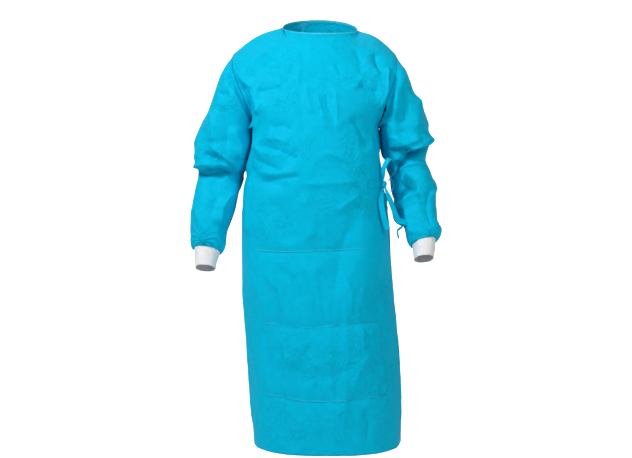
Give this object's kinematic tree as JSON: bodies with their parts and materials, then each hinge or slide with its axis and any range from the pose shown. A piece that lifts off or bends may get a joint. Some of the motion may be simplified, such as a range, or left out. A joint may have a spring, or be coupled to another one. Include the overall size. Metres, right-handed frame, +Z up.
{
  "type": "surgical gown",
  "caption": "Long-sleeved wrap-back surgical gown, filled out as if worn, with a bound neck, knit cuffs, a neck tab and a side tie knotted in a bow.",
  "frame": {"origin": "midway between the shoulders, at the level of the neck's sides, where the wearer's shoulders hold the gown up", "axes": "+Z up, the gown's front faces -Y, the wearer's left is +X"},
  "size_m": [0.744, 0.334, 1.2781],
  "materials": {
    "gown_cloth": "soft sheen nonwoven",
    "tie_cloth": "soft sheen nonwoven",
    "binding": "matt",
    "knit": "matt knit",
    "hook_and_loop": "matt"
  },
  "bodies": {
    "root": {"back_panel_left": "gown_cloth", "back_panel_right": "gown_cloth", "cuff_left": "knit", "cuff_right": "knit", "front_panel": "gown_cloth", "neck_binding": "binding", "neck_tab": "hook_and_loop", "sleeve_left": "gown_cloth", "sleeve_right": "gown_cloth", "tie_front": "tie_cloth", "tie_knot": "tie_cloth", "tie_loop_large": "tie_cloth", "tie_loop_small": "tie_cloth", "tie_patch": "tie_cloth", "tie_tail_broad": "tie_cloth", "tie_tail_long": "tie_cloth", "tie_tail_thin": "tie_cloth", "tie_wrap": "tie_cloth"}
  },
  "joints": []
}
